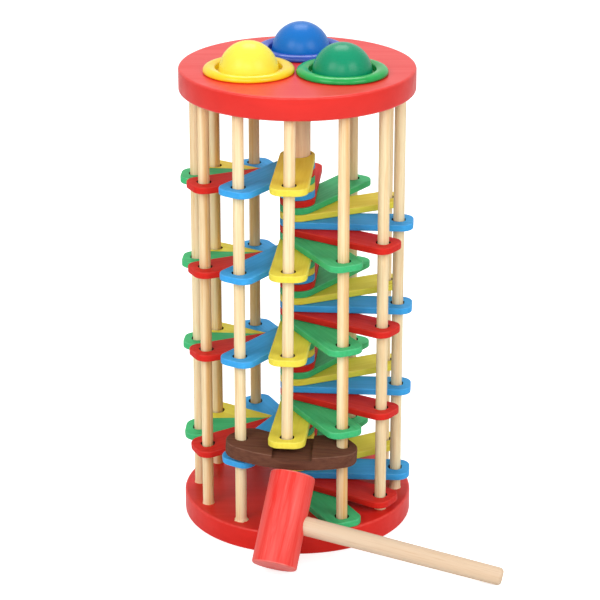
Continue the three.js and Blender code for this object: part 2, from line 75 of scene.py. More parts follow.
def add_node(tree, kind, inputs, **settings):
    """One shader node: settings are its properties, and an input takes a value or a link from a socket."""
    made = tree.nodes.new(kind)
    for name, value in settings.items():
        setattr(made, name, value)
    for key, value in inputs.items():
        if isinstance(value, bpy.types.NodeSocket):
            tree.links.new(value, made.inputs[key])
        else:
            made.inputs[key].default_value = value
    return made


def edge_rows(edge, low, high, between=()):
    """Rows of a plate's rim from top to bottom: inset, height and wear. The two edges are quarter circles,
    inset = edge (1 - sin t) and height = high - edge (1 - cos t), and the rim is upright between them."""
    t = np.linspace(0, np.pi / 2, ARC_POINTS)
    bend = edge * (1 - np.sin(t))
    fall = edge * (1 - np.cos(t))
    flat = np.zeros(len(between))
    inset = np.concatenate([bend, flat, bend[::-1]])
    height = np.concatenate([high - fall, between, low + fall[::-1]])
    wear_and_hole_shade = np.concatenate([np.sin(2 * t), flat, np.sin(2 * t)])
    return inset, height, wear_and_hole_shade


def turned(profile, segments):
    """Body of revolution about Z: point (s, a) is (r(s) cos a, r(s) sin a, z(s)), a over a full turn."""
    a = np.linspace(0, 2 * np.pi, segments, endpoint=False)
    radius, height = np.asarray(profile, float).T
    level = np.repeat(height[:, None], segments, axis=1)
    return np.stack([radius[:, None] * np.cos(a), radius[:, None] * np.sin(a), level], -1)


def put_together(*grids):
    """Points, quads and wear of several grids (points, wear and painted hole shade per row, closed): each
    quad joins neighbours.
    """
    points, quads, wear_and_hole_shade_rows, start = [], [], [], 0
    for grid, wear_and_hole_shade, closed in grids:
        rows, columns = grid.shape[:2]
        i, j = np.mgrid[0:rows - 1, 0:columns if closed else columns - 1]
        k = (j + 1) % columns
        corners = [i * columns + j, i * columns + k, (i + 1) * columns + k, (i + 1) * columns + j]
        quads += (np.stack(corners, -1).reshape(-1, 4) + start).tolist()
        points.append(grid.reshape(-1, 3))
        wear_and_hole_shade_rows.append(np.repeat(wear_and_hole_shade, columns))
        start += rows * columns
    return np.concatenate(points), quads, np.concatenate(wear_and_hole_shade_rows)


def make_piece(name, points, faces, wear_and_hole_shade, grain, tone, material):
    """A mesh object at the origin from points in millimetres: doubles merged, faces turned outwards.
    Its attributes are grain, the place in the wood with X along the fibres, wear at edges with painted shade
    on hole walls, and tone, which on the rods also paints light and shade."""
    mesh = bpy.data.meshes.new(name)
    mesh.from_pydata((points * MM).tolist(), [], faces)
    mesh.attributes.new("grain", "FLOAT_VECTOR", "POINT").data.foreach_set("vector", grain.ravel())
    mesh.attributes.new("wear_and_hole_shade", "FLOAT", "POINT").data.foreach_set("value", wear_and_hole_shade)
    mesh.attributes.new("tone", "FLOAT", "POINT").data.foreach_set("value", np.full(len(points), tone))
    whole = bmesh.new()
    whole.from_mesh(mesh)
    bmesh.ops.remove_doubles(whole, verts=whole.verts, dist=WELD * MM)
    bmesh.ops.recalc_face_normals(whole, faces=whole.faces)
    whole.to_mesh(mesh)
    whole.free()
    mesh.shade_smooth()
    mesh.set_sharp_from_angle(angle=SHARP_ANGLE)
    mesh.materials.append(material)
    piece = bpy.data.objects.new(name, mesh)
    bpy.context.scene.collection.objects.link(piece)
    return piece


def painted_wood(name, paint, deep, worn, streak_mm, fibre_mm, streaks, rubbed, roughness, specular, relief):
    """Opaque paint on wood. Long soft streaks shift the colour from paint to deep, fine fibres raise the
    surface by relief millimetres, and edges are rubbed to the worn colour where a patchy noise lets them.
    Where wear is below zero, on the walls of drilled holes, the colour goes to a dark brown as painted
    shade.
    Streak and fibre widths are in millimetres, the fibres drawn coarser than real ones so that they show."""
    material = bpy.data.materials.new(name)
    material.use_nodes = True
    tree = material.node_tree
    shader = tree.nodes["Principled BSDF"]
    grain = add_node(tree, "ShaderNodeAttribute", {}, attribute_name="grain").outputs["Vector"]
    wear_and_hole_shade = add_node(tree, "ShaderNodeAttribute", {}, attribute_name="wear_and_hole_shade").outputs["Fac"]
    long_way = add_node(tree, "ShaderNodeMapping", {
        "Vector": grain,
        "Scale": (1 / (streak_mm * STREAK_STRETCH), 1 / streak_mm, 1 / streak_mm)}).outputs[0]
    streak = add_node(tree, "ShaderNodeTexNoise", {
        "Vector": long_way, "Scale": 1.0, "Detail": 4.0, "Roughness": 0.6}).outputs[0]
    fine_way = add_node(tree, "ShaderNodeMapping", {
        "Vector": grain,
        "Scale": (1 / (fibre_mm * FIBRE_STRETCH), 1 / fibre_mm, 1 / fibre_mm)}).outputs[0]
    fibre = add_node(tree, "ShaderNodeTexNoise", {
        "Vector": fine_way, "Scale": 1.0, "Detail": 2.0, "Roughness": 0.5}).outputs[0]
    patch_way = add_node(tree, "ShaderNodeMapping", {
        "Vector": grain,
        "Scale": (1 / (PATCH_MM * PATCH_STRETCH), 1 / PATCH_MM, 1 / PATCH_MM)}).outputs[0]
    patch = add_node(tree, "ShaderNodeTexNoise", {
        "Vector": patch_way, "Scale": 1.0, "Detail": 5.0, "Roughness": 0.7}).outputs[0]
    depth = add_node(tree, "ShaderNodeMapRange", {
        "Value": streak, "From Min": 0.35, "From Max": 0.7, "To Min": 0.0, "To Max": streaks}).outputs[0]
    body = add_node(tree, "ShaderNodeMix", {
        0: depth, 6: linear(paint), 7: linear(deep)}, data_type="RGBA").outputs[2]
    lines = add_node(tree, "ShaderNodeMapRange", {
        "Value": fibre, "From Min": 0.58, "From Max": 0.75,
        "To Min": 0.0, "To Max": streaks * FIBRE_SHARE}).outputs[0]
    lined = add_node(tree, "ShaderNodeMix", {
        0: lines, 6: body, 7: linear(deep)}, data_type="RGBA").outputs[2]
    open_patch = add_node(tree, "ShaderNodeMapRange", {
        "Value": patch, "From Min": 0.38, "From Max": 0.62,
        "To Min": rubbed * LEAST_RUBBED, "To Max": rubbed}).outputs[0]
    bare = add_node(tree, "ShaderNodeMath", {0: wear_and_hole_shade, 1: open_patch}, operation="MULTIPLY").outputs[0]
    rubbed_paint = add_node(tree, "ShaderNodeMix", {
        0: bare, 6: lined, 7: linear(worn)}, data_type="RGBA").outputs[2]
    # Painted shade: where wear is below zero, on hole walls, the colour goes to a dark brown
    hole_shade_share = add_node(tree, "ShaderNodeMapRange", {
        "Value": wear_and_hole_shade, "From Min": -0.2, "From Max": -0.9, "To Min": 0.0, "To Max": 0.92}).outputs[0]
    colour = add_node(tree, "ShaderNodeMix", {
        0: hole_shade_share, 6: rubbed_paint, 7: linear(PAINTED_HOLE_SHADE)}, data_type="RGBA").outputs[2]
    sheen = add_node(tree, "ShaderNodeMapRange", {
        "Value": streak, "From Min": 0.3, "From Max": 0.7,
        "To Min": roughness - 0.05, "To Max": roughness + 0.07}).outputs[0]
    bump = add_node(tree, "ShaderNodeBump", {
        "Height": fibre, "Strength": 0.5, "Distance": relief * MM}).outputs[0]
    tree.links.new(colour, shader.inputs["Base Color"])
    tree.links.new(sheen, shader.inputs["Roughness"])
    tree.links.new(bump, shader.inputs["Normal"])
    shader.inputs["IOR"].default_value = 1.5
    shader.inputs["Specular IOR Level"].default_value = specular
    return material


# Satin lacquer over a filled board: even red, faint clouds, a soft gloss that picks up the white room
red_lacquer = painted_wood(
    "sprayed_red_lacquer_on_board", LACQUER_RED, LACQUER_DEEP, LACQUER_WORN,
    streak_mm=9.0, fibre_mm=1.2, streaks=0.4, rubbed=0.25, roughness=0.34, specular=0.32, relief=0.02)

# The same coat, duller and more rubbed on the base, so that it shines less; its pale rubbed edges also paint
# a thin highlight line along the top edge
dull_lacquer_with_edge_highlight = painted_wood(
    "worn_red_lacquer_with_painted_edge_highlight", LACQUER_RED, LACQUER_DEEP, LACQUER_WORN,
    streak_mm=9.0, fibre_mm=1.2, streaks=0.5, rubbed=0.45, roughness=0.38, specular=0.18, relief=0.02)

inset, height, disc_wear = edge_rows(DISC_EDGE, 0.0, BASE_THICKNESS)
rim_radius = DISC_RADIUS - inset
inner_radius = rim_radius[0] - EDGE_SUPPORT
base_profile = np.concatenate([
    [[0, BASE_THICKNESS], [inner_radius, BASE_THICKNESS]],
    np.stack([rim_radius, height], -1),
    [[inner_radius, 0], [0, 0]]])
base_wear = np.concatenate([[0, 0], disc_wear, [0, 0]])
base_points, base_faces, base_wear = put_together((turned(base_profile, DISC_SEGMENTS), base_wear, True))
base_disc = make_piece(
    "base_disc_lacquered", base_points, base_faces, base_wear, base_points, 0.0, dull_lacquer_with_edge_highlight)
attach(base_disc, "tower")
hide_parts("base_disc")

# Centre pole: a thick beech dowel, planed round and left bare.
# It is glued into both discs and carries the inner end of every step.
POLE_RADIUS = 9.0
POLE_SEGMENTS = 72
SEAT_DEPTH = 10.0
GLUE_GAP = 0.3
TOP_UNDERSIDE = 309.0
POLE_BOTTOM = BASE_THICKNESS - SEAT_DEPTH
POLE_TOP = TOP_UNDERSIDE + SEAT_DEPTH - GLUE_GAP
END_EDGE = 0.6
BEECH_PALE = "fddeba"
BEECH_BROWN = "e0ad84"
BEECH_FLECK = "b98560"
RING_STRETCH = 40
PORE_STRETCH = 30


def bare_wood(name, pale, brown, fleck, ring_mm, fibre_mm, contrast, roughness, relief):
    """Bare planed wood. Wide bands along the fibres are growth rings cut lengthwise, fine lines are
    fibres and pores, and the piece's tone moves the whole from pale towards brown. Ring and fibre widths
    are in millimetres, the fibres drawn coarser than real ones so that they show."""
    material = bpy.data.materials.new(name)
    material.use_nodes = True
    tree = material.node_tree
    shader = tree.nodes["Principled BSDF"]
    grain = add_node(tree, "ShaderNodeAttribute", {}, attribute_name="grain").outputs["Vector"]
    tone = add_node(tree, "ShaderNodeAttribute", {}, attribute_name="tone").outputs["Fac"]
    ring_way = add_node(tree, "ShaderNodeMapping", {
        "Vector": grain,
        "Scale": (1 / (ring_mm * RING_STRETCH), 1 / ring_mm, 1 / ring_mm)}).outputs[0]
    ring = add_node(tree, "ShaderNodeTexNoise", {
        "Vector": ring_way, "Scale": 1.0, "Detail": 3.0, "Roughness": 0.55, "Distortion": 0.4}).outputs[0]
    fibre_way = add_node(tree, "ShaderNodeMapping", {
        "Vector": grain,
        "Scale": (1 / (fibre_mm * PORE_STRETCH), 1 / fibre_mm, 1 / fibre_mm)}).outputs[0]
    fibre = add_node(tree, "ShaderNodeTexNoise", {
        "Vector": fibre_way, "Scale": 1.0, "Detail": 3.0, "Roughness": 0.6}).outputs[0]
    band = add_node(tree, "ShaderNodeMapRange", {
        "Value": ring, "From Min": 0.36, "From Max": 0.66, "To Min": 0.0, "To Max": contrast}).outputs[0]
    share = add_node(tree, "ShaderNodeMath", {0: band, 1: tone}, operation="ADD", use_clamp=True).outputs[0]
    body = add_node(tree, "ShaderNodeMix", {
        0: share, 6: linear(pale), 7: linear(brown)}, data_type="RGBA").outputs[2]
    lines = add_node(tree, "ShaderNodeMapRange", {
        "Value": fibre, "From Min": 0.52, "From Max": 0.74, "To Min": 0.0, "To Max": contrast}).outputs[0]
    colour = add_node(tree, "ShaderNodeMix", {
        0: lines, 6: body, 7: linear(fleck)}, data_type="RGBA").outputs[2]
    sheen = add_node(tree, "ShaderNodeMapRange", {
        "Value": fibre, "From Min": 0.3, "From Max": 0.7,
        "To Min": roughness - 0.06, "To Max": roughness + 0.08}).outputs[0]
    bump = add_node(tree, "ShaderNodeBump", {
        "Height": fibre, "Strength": 0.6, "Distance": relief * MM}).outputs[0]
    tree.links.new(colour, shader.inputs["Base Color"])
    tree.links.new(sheen, shader.inputs["Roughness"])
    tree.links.new(bump, shader.inputs["Normal"])
    shader.inputs["IOR"].default_value = 1.45
    shader.inputs["Specular IOR Level"].default_value = 0.25
    return material


def dowel_profile(radius, bottom, top):
    """Half section of a dowel: flat ends, and edges eased by a quarter circle."""
    inset, height, wear_and_hole_shade = edge_rows(END_EDGE, bottom, top)
    side = np.stack([radius - inset, height], -1)
    return np.concatenate([[[0, top]], side, [[0, bottom]]]), np.concatenate([[0], wear_and_hole_shade, [0]])


# Beech: pinkish tan, short darker flecks, bands of slow growth
beech = bare_wood(
    "planed_beech_dowel", BEECH_PALE, BEECH_BROWN, BEECH_FLECK,
    ring_mm=4.5, fibre_mm=0.6, contrast=0.45, roughness=0.55, relief=0.04)

pole_profile, pole_wear = dowel_profile(POLE_RADIUS, POLE_BOTTOM, POLE_TOP)
pole_points, pole_faces, pole_wear = put_together((turned(pole_profile, POLE_SEGMENTS), pole_wear, True))
pole = make_piece("pole_beech", pole_points, pole_faces, pole_wear, pole_points[:, [2, 0, 1]], 0.0, beech)
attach(pole, "tower")
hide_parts("centre_pole")

# Outer rods: twelve thin birch dowels on one circle, bare and smooth, glued into the discs. The front one
# hangs from the top disc and ends just under a step, its loose end a little to the left; glue and fibres
# swell at the foot of the others.
ROD_RADIUS = 3.85
ROD_RIM_DISTANCE = 10.4
ROD_CIRCLE = DISC_RADIUS - ROD_RIM_DISTANCE
ROD_SEGMENTS = 64
ROD_COUNT = 12
FRONT_ROD = 0
FLARED_ROD = 1
ROD_PHASE = math.radians(-4)
ROD_STEP = 2 * math.pi / ROD_COUNT
ROD_TOP = POLE_TOP
ROD_BOTTOM = POLE_BOTTOM
FRONT_ROD_BOTTOM = 77.28
FRONT_ROD_LEAN = math.radians(0.55)
FOOT_SWELL = 0.35
FLARED_FOOT_SWELL = 0.95
FOOT_HEIGHT = 2.4
FOOT_MARGIN = 0.1
FOOT_LOBES = ((0.2, 5), (0.2, 9), (0.15, 14))
LOBE_TURN = 9.0
ROD_GRAIN_SHIFT = np.array([137.0, 9.0, 0.0])
# Tone of each rod, 0 for pale and 1 for honey, set to paint light and shade as well: darker on the back rods
# and paler on the right ones. What is added to it on the right side of three rods is painted shade.
ROD_TONES_AND_SHADE = [0.0, -0.02, 0.0, -0.02, -0.05, 0.25, 0.3, 0.0, 0.0, -0.15, -0.1, -0.08]
RIGHT_SIDE_PAINTED_SHADE = {2: 0.4, 4: 0.6, 11: 0.5}
RIGHT_SHADE_BLUR = 2.4
BIRCH_PALE = "f7e4ba"
BIRCH_HONEY = "e0a556"
BIRCH_LINE = "d39c55"


def rod_angle(k):
    """Angle of rod k from the front, clockwise seen from above: the phase less one rod step for each."""
    return ROD_PHASE - ROD_STEP * k


def on_circle(radius, angle):
    """Point of a circle about the pole: (radius sin angle, -radius cos angle), angle 0 at the front."""
    return radius * math.sin(angle), -radius * math.cos(angle)


def rod_place(k, height):
    """Place of rod k's middle at a height: on the circle, but the front rod leans left from its top down."""
    x, y = on_circle(ROD_CIRCLE, rod_angle(k))
    lean = FRONT_ROD_LEAN if k % ROD_COUNT == FRONT_ROD else 0
    return x + (height - ROD_TOP) * math.tan(lean), y


def rod_surface(bottom, swell):
    """A dowel as a grid: radius(z) = rod radius + swell (1 - h)^2 lobes(a) within the foot's height, where h
    is the share of that height and lobes is 1 and a few sines of multiples of a, so that the foot flares
    unevenly."""
    profile, wear_and_hole_shade = dowel_profile(ROD_RADIUS, bottom, ROD_TOP)
    foot = BASE_THICKNESS + np.linspace(FOOT_HEIGHT, 0, ARC_POINTS)
    if bottom < BASE_THICKNESS:
        collar = np.stack([np.full(ARC_POINTS, ROD_RADIUS), foot], -1)
        profile = np.concatenate([profile[:ARC_POINTS + 1], collar, profile[ARC_POINTS + 1:]])
        wear_and_hole_shade = np.concatenate([wear_and_hole_shade[:ARC_POINTS + 1], np.zeros(ARC_POINTS), wear_and_hole_shade[ARC_POINTS + 1:]])
    grid = turned(profile, ROD_SEGMENTS)
    share = np.clip((grid[..., 2] - BASE_THICKNESS) / FOOT_HEIGHT, 0, 1)
    angle = np.arctan2(grid[..., 1], grid[..., 0])
    phases = (swell * LOBE_TURN, 1.0, 0.0)
    lobes = 1 + sum(
        depth * np.sin(count * angle + phase) for (depth, count), phase in zip(FOOT_LOBES, phases))
    flare = np.where(grid[..., 2] < BASE_THICKNESS - FOOT_MARGIN, 0, swell * (1 - share) ** 2 * lobes)
    grid[..., :2] *= (1 + flare / ROD_RADIUS)[..., None]
    return grid, wear_and_hole_shade


# Birch: cream, with straight pores about a tenth of a millimetre wide, drawn ten times as coarse to show
birch = bare_wood(
    "sanded_birch_dowel", BIRCH_PALE, BIRCH_HONEY, BIRCH_LINE,
    ring_mm=2.6, fibre_mm=1.0, contrast=0.45, roughness=0.5, relief=0.05)

for k in range(ROD_COUNT):
    swell = FLARED_FOOT_SWELL if k == FLARED_ROD else FOOT_SWELL
    rod_grid, rod_wear = rod_surface(FRONT_ROD_BOTTOM if k == FRONT_ROD else ROD_BOTTOM, swell)
    rod_points, rod_faces, rod_wear = put_together((rod_grid, rod_wear, True))
    rod_grain = rod_points[:, [2, 0, 1]] + k * ROD_GRAIN_SHIFT
    # Painted shade: honey-brown added on the right half of three rods
    right_shade_share = np.clip(0.5 + rod_points[:, 0] / RIGHT_SHADE_BLUR, 0, 1)
    rod_tone_and_shade = ROD_TONES_AND_SHADE[k] + RIGHT_SIDE_PAINTED_SHADE.get(k, 0) * right_shade_share
    rod_x, rod_y = rod_place(k, rod_points[:, 2])
    rod_points = rod_points + np.stack(np.broadcast_arrays(rod_x, rod_y, 0.0), -1)
    rod = make_piece(
        f"dowel_{k + 1:02d}", rod_points, rod_faces, rod_wear, rod_grain, rod_tone_and_shade, birch)
    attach(rod, "tower")
    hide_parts(f"rod_{k + 1:02d}")

# Steps: forty-eight slats of thin plywood, cut with a round inner end, drilled for the pole and for one
# rod, their edges eased, and dipped in paint. They are threaded one above the other, each a twelfth of a
# turn on from the last. The stack tips up at the front above the bridge, and down to the left below it.
STEP_COUNT = 48
BRIDGE_STEP = 36
BRIDGE_STEP_HEIGHT = 78.712
SLAT_THICKNESS = 4.83
SLAT_GAP = 0.2
SLAT_EDGE = 0.8
SLAT_INNER = 12.1
SLAT_OUTER = 12.8
SLAT_TIP_SETBACK = 0.3
SLAT_TIP = DISC_RADIUS - SLAT_TIP_SETBACK
SLAT_CORNER = 8.5
SLAT_POLE_PLAY = 0.5
SLAT_BORE = POLE_RADIUS + SLAT_POLE_PLAY
SLAT_ROD_PLAY = 1.15
SLAT_ROD_HOLE = ROD_RADIUS + SLAT_ROD_PLAY
SLAT_HOLE_EDGE = 0.3
SLAT_SPLIT = 40.0
SLAT_SIDE_POINTS = 5
SLAT_END_POINTS = 29
SLAT_CORNER_POINTS = 11
SLAT_SEAM_POINTS = 7
SLAT_GRAIN_SHIFT = np.array([211.0, 31.0, 17.0])
UPPER_TILT = math.radians(1.8)
LOWER_TILT = math.radians(6.6)
# Places in a turn, from 0, where two slats behind the pole share one solid of the frame
PAIR_STARTS = (4, 6, 8)
STEP_PAINTS = {
    "yellow": ("f2e250", "e0c941", "faf4a8"),
    "blue": ("40a9ec", "338fd0", "9fd2f4"),
    "red": ("da281f", "c02019", "ee7a6e"),
    "green": ("46bf7a", "34a162", "a5e4bd"),
}


def arc(x, y, radius, start, end, count):
    """Points of a circle's arc: (x + radius cos t, y + radius sin t), t from start to end."""
    t = np.linspace(start, end, count)
    return np.stack([x + radius * np.cos(t), y + radius * np.sin(t)], -1)


def line(start, end, count):
    """Points spread evenly on the straight line between two points."""
    return np.asarray(start) + np.linspace(0, 1, count)[:, None] * (np.asarray(end) - start)


def outward(loop):
    """Unit normals of a closed loop that runs anticlockwise: the chord between neighbours, turned right."""
    chord = np.roll(loop, -1, axis=0) - np.roll(loop, 1, axis=0)
    chord /= np.linalg.norm(chord, axis=1)[:, None]
    return np.stack([chord[:, 1], -chord[:, 0]], -1)


def holed_cell(border, centre, radius, edge, low, high):
    """Both faces of a flat cell and the wall of its round hole, as one grid. Each column starts at a point
    of the border, runs straight to the hole, down its wall on eased edges, and back out underneath.
    Wear is -1 on the wall, which marks it for painted shade, the dark inside of the hole."""
    away = border - centre
    reach = np.linalg.norm(away, axis=1)
    inset, height, _ = edge_rows(edge, low, high)
    rim = np.repeat((radius + inset)[:, None], len(border), axis=1)
    face = np.stack([reach, reach - EDGE_SUPPORT, np.full(len(border), radius + edge + EDGE_SUPPORT)])
    distance = np.concatenate([face, rim, face[::-1]])
    level = np.concatenate([[high] * len(face), height, [low] * len(face)])
    flat = centre + distance[..., None] * (away / reach[:, None])
    grid = np.concatenate([flat, np.broadcast_to(level[:, None, None], (*distance.shape, 1))], -1)
    hole_shade = inset / edge - 1
    return grid, np.concatenate([np.zeros(len(face)), hole_shade, np.zeros(len(face))]), True


def rim_wall(outline, normals, rows, closed):
    """A plate's rim: each row is the outline moved in by the row's inset along the normals."""
    inset, height, wear_and_hole_shade = rows
    flat = outline - inset[:, None, None] * normals
    level = np.broadcast_to(height[:, None, None], (len(height), len(outline), 1))
    return np.concatenate([flat, level], -1), wear_and_hole_shade, closed


def slat_shape():
    """One slat about its middle, length along X. Its outline is a half circle about the pole, two straight
    sides that open slightly, and two corner arcs at the tip. Two cells, one round each hole, fill it."""
    half = SLAT_THICKNESS / 2
    corner_x = SLAT_TIP - SLAT_CORNER
    corner_y = SLAT_OUTER - SLAT_CORNER
    split_y = SLAT_INNER + (SLAT_OUTER - SLAT_INNER) * SLAT_SPLIT / corner_x
    right = np.pi / 2
    inner = np.concatenate([
        line((SLAT_SPLIT, split_y), (0, SLAT_INNER), SLAT_SIDE_POINTS)[:-1],
        arc(0, 0, SLAT_INNER, right, 3 * right, SLAT_END_POINTS),
        line((0, -SLAT_INNER), (SLAT_SPLIT, -split_y), SLAT_SIDE_POINTS)[1:]])
    outer = np.concatenate([
        line((SLAT_SPLIT, -split_y), (corner_x, -SLAT_OUTER), SLAT_SIDE_POINTS)[:-1],
        arc(corner_x, -corner_y, SLAT_CORNER, -right, 0, SLAT_CORNER_POINTS),
        arc(corner_x, corner_y, SLAT_CORNER, 0, right, SLAT_CORNER_POINTS),
        line((corner_x, SLAT_OUTER), (SLAT_SPLIT, split_y), SLAT_SIDE_POINTS)[1:]])
    loop = np.concatenate([inner[:-1], outer[:-1]])
    normals = outward(loop)
    eased = loop - SLAT_EDGE * normals
    count = len(inner)
    seam = line(eased[count - 1], eased[0], SLAT_SEAM_POINTS)[1:-1]
    inner_border = np.concatenate([eased[:count], seam])
    outer_border = np.concatenate([eased[count - 1:], eased[:1], seam[::-1]])
    return put_together(
        holed_cell(inner_border, np.zeros(2), SLAT_BORE, SLAT_HOLE_EDGE, -half, half),
        holed_cell(outer_border, np.array([ROD_CIRCLE, 0]), SLAT_ROD_HOLE, SLAT_HOLE_EDGE, -half, half),
        rim_wall(loop, normals, edge_rows(SLAT_EDGE, -half, half), True))


def step_slope(k):
    """Rise of step k for each millimetre along X and Y. Above the bridge it points to the front rod and
    grows downwards; below it the step falls towards the next rod, and lies flat on the base at last."""
    above = k <= BRIDGE_STEP
    share = k / BRIDGE_STEP if above else (STEP_COUNT - 1 - k) / (STEP_COUNT - 2 - BRIDGE_STEP)
    rise = math.tan(share * UPPER_TILT) if above else -math.tan(share * LOWER_TILT)
    return np.array(on_circle(rise, rod_angle(FRONT_ROD if above else FRONT_ROD + 1)))


def rise_over(k):
    """Height of step k above the next one: half of each slat, the gap, and what the change of slope needs
    at the notch between the two or round the pole, whichever is more."""
    upper, lower = step_slope(k), step_slope(k + 1)
    slats = SLAT_THICKNESS / 2 * (math.hypot(1, *upper) + math.hypot(1, *lower))
    notch = on_circle(SLAT_OUTER / math.tan(ROD_STEP / 2), (rod_angle(k) + rod_angle(k + 1)) / 2)
    round_pole = np.linalg.norm(lower - upper) * SLAT_OUTER / math.cos(ROD_STEP / 2)
    return slats + SLAT_GAP + max((lower - upper) @ notch, round_pole)


def step_height(k):
    """Middle height of step k at the pole: all rises from the base, or from the step over the bridge."""
    foot = BRIDGE_STEP if k <= BRIDGE_STEP else STEP_COUNT - 1
    start = BRIDGE_STEP_HEIGHT if k <= BRIDGE_STEP else BASE_THICKNESS + SLAT_THICKNESS / 2
    return start + sum(rise_over(i) for i in range(k, foot))


def about_z(angle):
    """Matrix of a turn about Z."""
    return np.array([
        [math.cos(angle), -math.sin(angle), 0], [math.sin(angle), math.cos(angle), 0], [0, 0, 1]])


def tipped(slope):
    """Matrix that tips Z to the normal of a plane with this slope, about the level line between the two:
    I + K + K K / (1 + normal z), where K is the cross product with Z x normal."""
    nx, ny, nz = np.array([-slope[0], -slope[1], 1]) / math.hypot(1, *slope)
    k = np.array([[0, 0, nx], [0, 0, ny], [-nx, -ny, 0]])
    return np.eye(3) + k + k @ k / (1 + nz)


def placed_slat(points, k):
    """The slat turned about Z to its rod, tipped to its slope and lifted to its height."""
    height = step_height(k)
    x, y = rod_place(k, height)
    return points @ (tipped(step_slope(k)) @ about_z(math.atan2(y, x))).T + [0, 0, height]


# Dipped paint on plywood: satin, faint streaks along the face grain, paler where edges are rubbed
step_paint = {
    shade: painted_wood(
        f"dipped_{shade}_paint_on_plywood", paint, deep, worn,
        streak_mm=2.2, fibre_mm=0.6, streaks=0.45, rubbed=0.2, roughness=0.5, specular=0.12, relief=0.04)
    for shade, (paint, deep, worn) in STEP_PAINTS.items()}

slat_points, slat_faces, slat_wear_and_hole_shade = slat_shape()
shades = list(STEP_PAINTS)
for k in range(STEP_COUNT):
    shade = shades[k % len(shades)]
    name = f"{k + 1:02d}_{shade}"
    node = f"step_{name}"
    first = k - 1 if (k - 1) % ROD_COUNT in PAIR_STARTS else k
    if first % ROD_COUNT in PAIR_STARTS:
        first_shade = shades[first % len(shades)]
        second_shade = shades[(first + 1) % len(shades)]
        node = f"steps_{first + 1:02d}_{first_shade}_{first + 2:02d}_{second_shade}"
    slat_grain = slat_points + k * SLAT_GRAIN_SHIFT
    step = make_piece(
        f"slat_{name}", placed_slat(slat_points, k), slat_faces, slat_wear_and_hole_shade, slat_grain, 0.0,
        step_paint[shade])
    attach(step, "tower")
    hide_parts(node)

# Bridge: a curved board of pine over the ball gate, stained dark brown and left matt. Two rods pass through
# it, a shallow groove crosses its top, and it is jammed a little askew between two steps.
BRIDGE_HEIGHT = 70.016
BRIDGE_THICKNESS = 9.7
BRIDGE_FLOOR = 7.3
BRIDGE_INNER_WIDTH = 19.0
BRIDGE_OUTER_WIDTH = 14.0
BRIDGE_INNER = ROD_CIRCLE - BRIDGE_INNER_WIDTH
BRIDGE_OUTER = ROD_CIRCLE + BRIDGE_OUTER_WIDTH
BRIDGE_CORNER = 13.0
BRIDGE_PAST_ROD = 9.2
BRIDGE_END = ROD_STEP + BRIDGE_PAST_ROD / ROD_CIRCLE
BRIDGE_EDGE = 0.7
BRIDGE_ROD_PLAY = 0.55
BRIDGE_HOLE = ROD_RADIUS + BRIDGE_ROD_PLAY
BRIDGE_SEAM_POINTS = 6
BRIDGE_ARC_POINTS = 12
BRIDGE_SLOPE = (-math.tan(math.radians(2.9)), math.tan(math.radians(3.5)))
GROOVE_PLAY = 0.8
GROOVE_HALF = SLAT_OUTER + GROOVE_PLAY
GROOVE_TURN = math.radians(1)
STAIN_BROWN = "704837"
STAIN_DEEP = "55342a"
STAIN_WORN = "9a7362"


def bridge_corner(radius, inward):
    """Arc that rounds one end corner of the board: its centre lies a corner radius inside both the curved
    edge and the straight end, and it runs from the curved edge to the end."""
    centre_radius = radius + inward * BRIDGE_CORNER
    centre_angle = BRIDGE_END - math.asin(BRIDGE_CORNER / centre_radius)
    x = centre_radius * math.cos(centre_angle)
    y = centre_radius * math.sin(centre_angle)
    edge_angle = centre_angle + (math.pi if inward > 0 else 0)
    corner = arc(x, y, BRIDGE_CORNER, edge_angle, BRIDGE_END + math.pi / 2, BRIDGE_ARC_POINTS)
    return corner, centre_angle


def bridge_half(side):
    """One half of the board, the right one for side 1 and the left one, mirrored, for side -1: a cell round
    the rod hole with an outline of two arcs and two round corners, its rim, and the flat cheek of the
    groove, which is turned a little."""
    turn = side * GROOVE_TURN
    outer_corner, outer_sweep = bridge_corner(BRIDGE_OUTER, -1)
    inner_corner, inner_sweep = bridge_corner(BRIDGE_INNER, 1)
    outer_angle = math.asin(GROOVE_HALF / BRIDGE_OUTER)
    inner_angle = math.asin(GROOVE_HALF / BRIDGE_INNER)
    half = np.concatenate([
        arc(0, 0, BRIDGE_OUTER, outer_angle + turn, outer_sweep, BRIDGE_ARC_POINTS)[:-1],
        outer_corner,
        inner_corner[::-1],
        arc(0, 0, BRIDGE_INNER, inner_sweep, inner_angle + turn, BRIDGE_ARC_POINTS)[1:]])
    along = np.array([math.cos(turn), math.sin(turn)])
    normals = outward(half)
    normals[0] = along / math.cos(outer_angle)
    normals[-1] = -along / math.cos(inner_angle)
    eased = half - BRIDGE_EDGE * normals
    seam = line(eased[-1], eased[0], BRIDGE_SEAM_POINTS)
    border = np.concatenate([eased, seam[1:-1]])
    hole = ROD_CIRCLE * np.array([math.cos(ROD_STEP), math.sin(ROD_STEP)])
    rows = edge_rows(BRIDGE_EDGE, 0.0, BRIDGE_THICKNESS, [BRIDGE_FLOOR])
    wall, wall_wear, _ = rim_wall(half, normals, rows, False)
    cell, cell_wear_and_hole_shade, _ = holed_cell(border, hole, BRIDGE_HOLE, SLAT_HOLE_EDGE, 0.0, BRIDGE_THICKNESS)
    top_line = np.concatenate([seam[::-1], np.full((len(seam), 1), BRIDGE_THICKNESS)], -1)
    cheek = np.concatenate([wall[ARC_POINTS::-1, 0], top_line[1:-1], wall[:ARC_POINTS + 1, -1]])
    mirror = np.array([1, side, 1])
    return (cell * mirror, cell_wear_and_hole_shade, True), (wall * mirror, wall_wear, False), cheek * mirror


